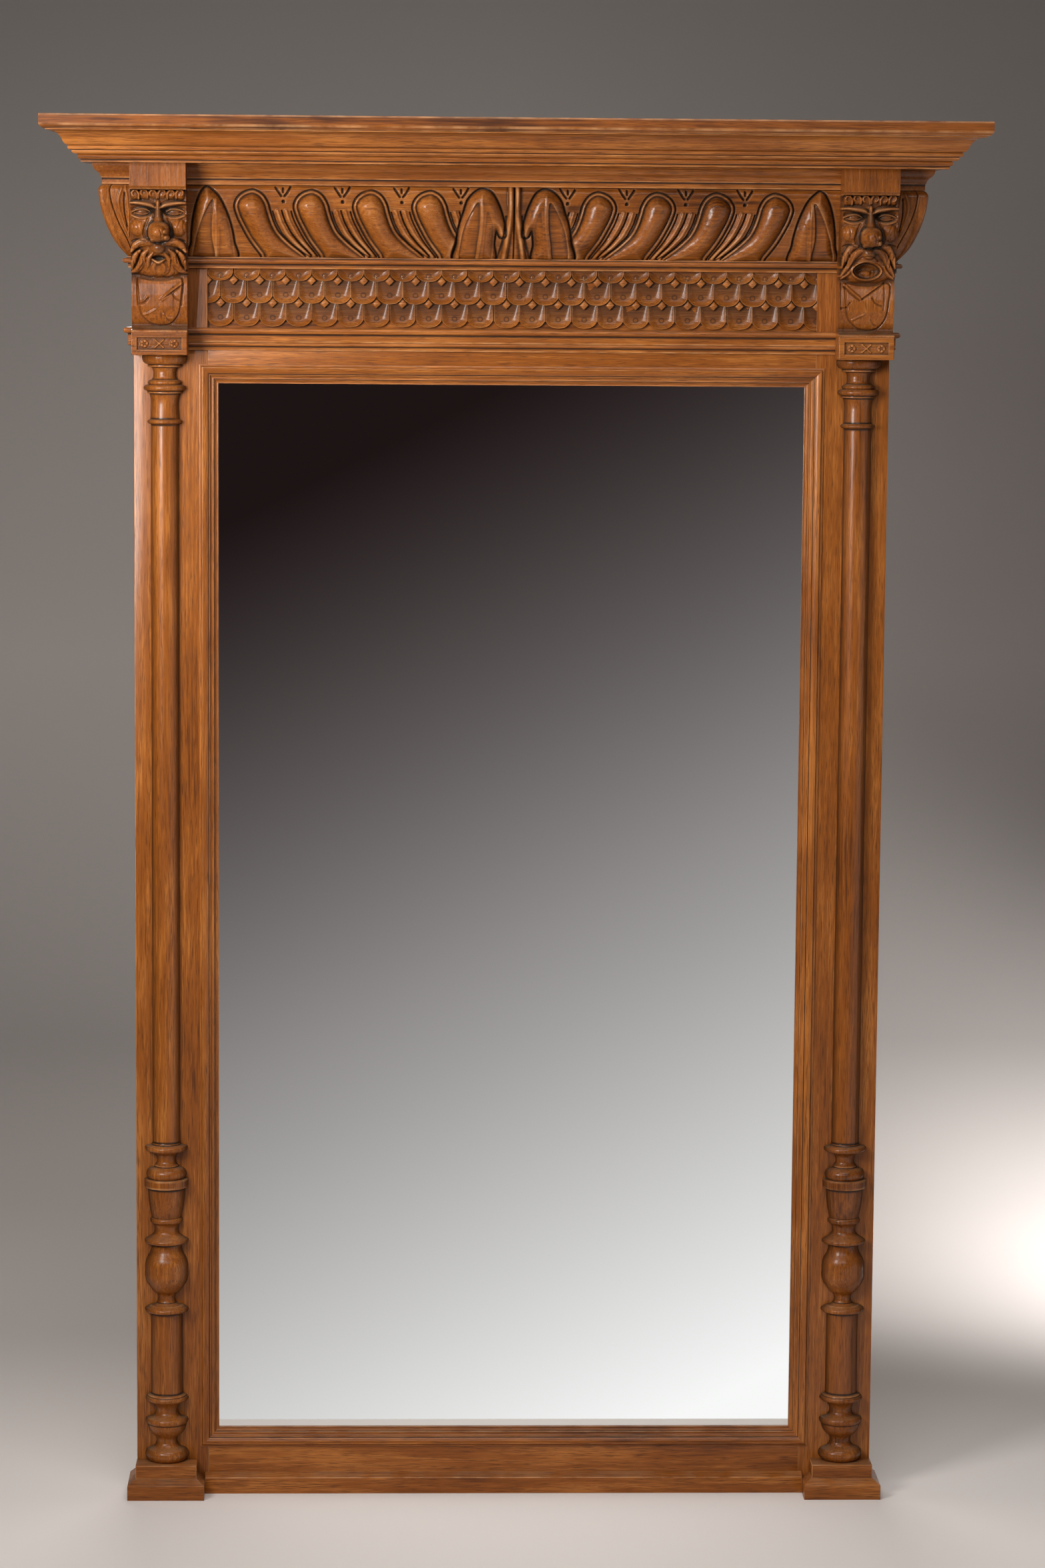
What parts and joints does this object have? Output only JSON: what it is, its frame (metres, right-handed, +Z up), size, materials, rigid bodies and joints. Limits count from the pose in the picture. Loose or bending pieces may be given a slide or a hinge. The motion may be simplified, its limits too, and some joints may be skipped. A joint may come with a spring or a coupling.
{
  "type": "carved oak mirror",
  "caption": "Tall overmantel mirror in carved oak: turned half columns, mask consoles, a gadrooned frieze and a projecting cornice frame a plain sheet of mirror glass.",
  "frame": {"origin": "middle of the footprint box, on the floor", "axes": "+Z up, +Y from the front towards the wall, +X to the right of a person facing the glass"},
  "size_m": [1.32, 0.205, 2],
  "materials": {
    "oak": "old waxed oak, satin",
    "backing_wood": "unfinished aged softwood, matt",
    "mirror_glass": "silvered plate glass, plain edge",
    "screw_steel": "dull old steel"
  },
  "bodies": {
    "root": {"astragal_front": "oak", "astragal_return_left": "oak", "astragal_return_right": "oak", "back_board_1": "backing_wood", "back_board_2": "backing_wood", "back_board_3": "backing_wood", "back_board_4": "backing_wood", "back_board_5": "backing_wood", "back_screws": "screw_steel", "bed_moulding_front": "oak", "bed_return_left": "oak", "bed_return_right": "oak", "bottom_rail": "oak", "column_left": "oak", "column_right": "oak", "column_screws": "screw_steel", "console_left": "oak", "console_right": "oak", "console_screws": "screw_steel", "corner_blocks": "backing_wood", "cornice_back_rail": "backing_wood", "cornice_base_board": "oak", "cornice_screws": "screw_steel", "cornice_top_board": "oak", "crown_front": "oak", "crown_return_left": "oak", "crown_return_right": "oak", "end_glass_blocks": "backing_wood", "frieze_front": "oak", "frieze_return_left": "oak", "frieze_return_right": "oak", "impost_left": "oak", "impost_right": "oak", "mirror_glass": "mirror_glass", "plinth_base_left": "oak", "plinth_base_right": "oak", "plinth_die_left": "oak", "plinth_die_right": "oak", "scale_panel": "oak", "side_glass_blocks": "backing_wood", "sight_moulding_bottom": "oak", "sight_moulding_left": "oak", "sight_moulding_right": "oak", "sight_moulding_top": "oak", "skirting_strip": "oak", "stile_left": "oak", "stile_right": "oak", "strip_moulding_front": "oak", "strip_return_left": "oak", "strip_return_right": "oak", "top_rail": "oak", "upper_rail": "oak"}
  },
  "joints": []
}
